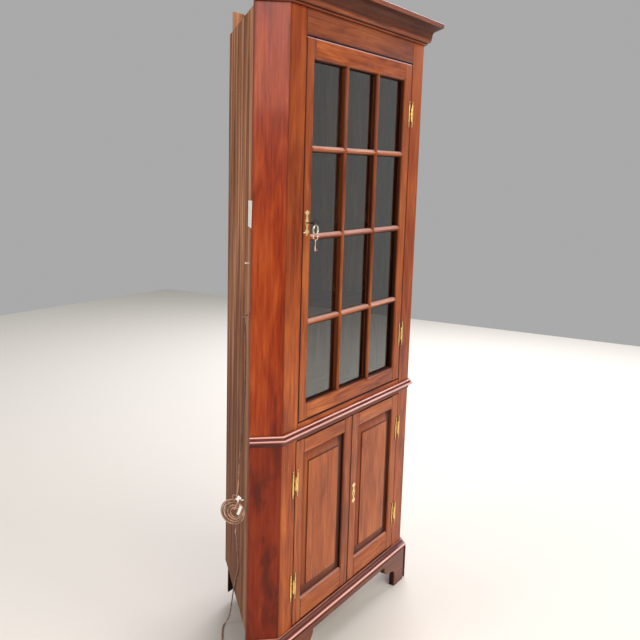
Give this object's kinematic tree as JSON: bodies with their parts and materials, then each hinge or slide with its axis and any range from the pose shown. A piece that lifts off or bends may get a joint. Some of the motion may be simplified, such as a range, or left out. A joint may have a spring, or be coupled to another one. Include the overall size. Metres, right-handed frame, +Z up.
{
  "type": "corner cabinet",
  "caption": "Tall corner cabinet with a glazed upper door over shelves, a pair of raised-panel doors below, a cove cornice, bracket feet and brass H hinges.",
  "frame": {"origin": "on the floor, below the middle of the cabinet's box without its cord", "axes": "+Z up, -Y the way the doors face, +X to the right of someone facing the doors"},
  "size_m": [1.1022, 0.4835, 2.113],
  "materials": {
    "finished_cherry": "satin reddish cherry finish",
    "raw_board": "bare weathered board",
    "shelf_wood": "plain inner boards",
    "glass": "clear sheet glass",
    "brass": "polished brass",
    "white_plastic": "white plastic",
    "brown_cord": "brown flexible lamp cord"
  },
  "bodies": {
    "case": {"back_board": "raw_board", "side_board_left": "raw_board", "side_board_right": "raw_board", "rear_foot": "raw_board", "cant_left": "finished_cherry", "cant_right": "finished_cherry", "frame_stile_left": "finished_cherry", "frame_stile_right": "finished_cherry", "frame_rail_top": "finished_cherry", "frame_rail_waist": "finished_cherry", "frame_rail_bottom": "finished_cherry", "cornice": "finished_cherry", "waist_moulding": "finished_cherry", "base_moulding": "finished_cherry", "base_apron": "finished_cherry", "base_foot_left": "finished_cherry", "base_foot_right": "finished_cherry", "top_board": "shelf_wood", "waist_board": "shelf_wood", "bottom_board": "shelf_wood", "lower_shelf": "shelf_wood", "upper_shelf_1": "shelf_wood", "upper_shelf_2": "shelf_wood", "upper_shelf_3": "shelf_wood", "upper_top_hinge_frame_leaf": "brass", "upper_bottom_hinge_frame_leaf": "brass", "lower_left_top_hinge_frame_leaf": "brass", "lower_left_bottom_hinge_frame_leaf": "brass", "lower_right_top_hinge_frame_leaf": "brass", "lower_right_bottom_hinge_frame_leaf": "brass", "light_fitting": "white_plastic", "coil_tie": "white_plastic", "cord_drop": "brown_cord", "cord_coil": "brown_cord", "cord_tail": "brown_cord", "cord_plug": "brown_cord"},
    "upper_door": {"upper_door_stile_left": "finished_cherry", "upper_door_stile_right": "finished_cherry", "upper_door_rail_top": "finished_cherry", "upper_door_rail_bottom": "finished_cherry", "glazing_bars": "finished_cherry", "glass_sheet": "glass", "glazing_bead": "finished_cherry", "upper_top_hinge_door_leaf": "brass", "upper_bottom_hinge_door_leaf": "brass", "upper_escutcheon": "brass"},
    "lower_left_door": {"lower_left_door_frame": "finished_cherry", "lower_left_door_panel": "finished_cherry", "lower_left_top_hinge_door_leaf": "brass", "lower_left_bottom_hinge_door_leaf": "brass"},
    "lower_right_door": {"lower_right_door_frame": "finished_cherry", "lower_right_door_panel": "finished_cherry", "lower_right_top_hinge_door_leaf": "brass", "lower_right_bottom_hinge_door_leaf": "brass", "lower_escutcheon": "brass"},
    "upper_key": {"upper_key": "brass"},
    "key_ring": {"spare_key_on_ring": "brass"},
    "upper_bolt": {"upper_lock_bolt": "brass"},
    "lower_bolt": {"lower_lock_bolt": "brass"},
    "left_bolt": {"left_door_bolt": "brass"}
  },
  "joints": [
    {"name": "upper_door_hinge", "type": "hinge", "parent": "case", "child": "upper_door", "pos_m": [0.35, -0.18407, 1.402], "axis": [0, 0, 1], "range_deg": [0, 165]},
    {"name": "lower_left_door_hinge", "type": "hinge", "parent": "case", "child": "lower_left_door", "pos_m": [-0.359, -0.18407, 0.4685], "axis": [0, 0, -1], "range_deg": [0, 165]},
    {"name": "lower_right_door_hinge", "type": "hinge", "parent": "case", "child": "lower_right_door", "pos_m": [0.359, -0.18407, 0.4685], "axis": [0, 0, 1], "range_deg": [0, 165]},
    {"name": "upper_key_turn", "type": "hinge", "parent": "upper_door", "child": "upper_key", "pos_m": [-0.329, -0.18057, 1.443], "axis": [0, 1, 0], "range_deg": [0, 90]},
    {"name": "key_ring_swing", "type": "hinge", "parent": "upper_key", "child": "key_ring", "pos_m": [-0.329, -0.21157, 1.435], "axis": [0, 1, 0], "range_deg": [-90, 90]},
    {"name": "upper_bolt_slide", "type": "slide", "parent": "upper_door", "child": "upper_bolt", "axis": [-1, 0, 0], "range_m": [0, 0.0081]},
    {"name": "lower_bolt_slide", "type": "slide", "parent": "lower_right_door", "child": "lower_bolt", "axis": [-1, 0, 0], "range_m": [0, 0.008]},
    {"name": "left_bolt_slide", "type": "slide", "parent": "lower_left_door", "child": "left_bolt", "axis": [0, 0, 1], "range_m": [0, 0.008]}
  ],
  "couplings": [
    {"joint": "upper_bolt_slide", "follows": "upper_key_turn", "m_per_rad": 0.005093}
  ]
}
